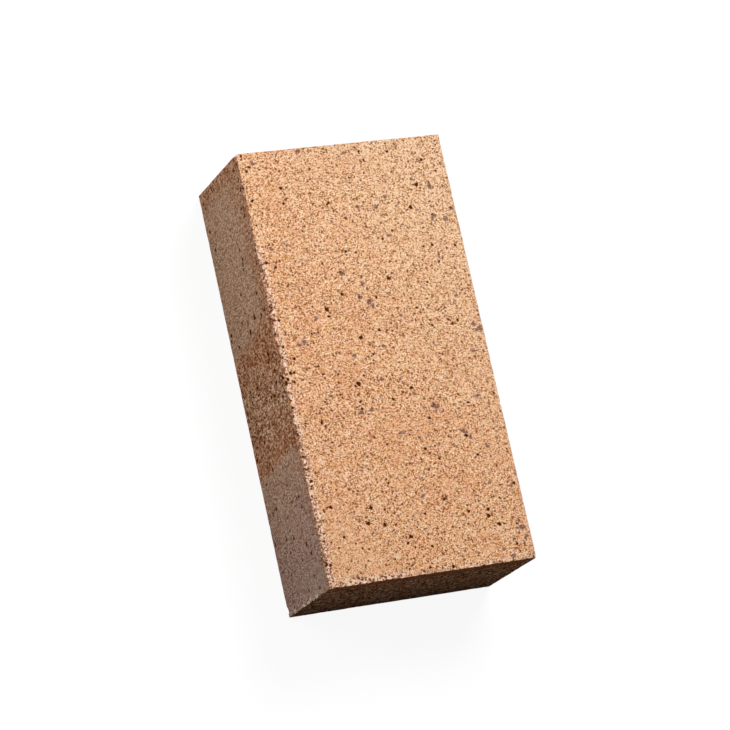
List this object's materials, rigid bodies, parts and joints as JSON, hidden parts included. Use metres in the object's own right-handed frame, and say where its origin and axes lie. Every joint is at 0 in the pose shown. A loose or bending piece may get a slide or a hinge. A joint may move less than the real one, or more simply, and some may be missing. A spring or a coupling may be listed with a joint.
{
  "type": "refractory firebrick",
  "caption": "Dense rectangular fireclay brick with six flat faces and slightly rounded arrises, for lining kilns, furnaces, stoves and flues.",
  "frame": {"origin": "centre of the lower bed, on the surface that the brick lies on", "axes": "+Z from the lower bed to the upper bed, +Y along the length from header to header, +X across the width from stretcher to stretcher"},
  "size_m": [0.114, 0.23, 0.065],
  "materials": {
    "fired_clay": "matte and open-grained, sand-orange with dark and pale grog specks; the long sides flashed grey-brown in the kiln"
  },
  "bodies": {
    "root": {"firebrick": "fired_clay"}
  },
  "joints": []
}
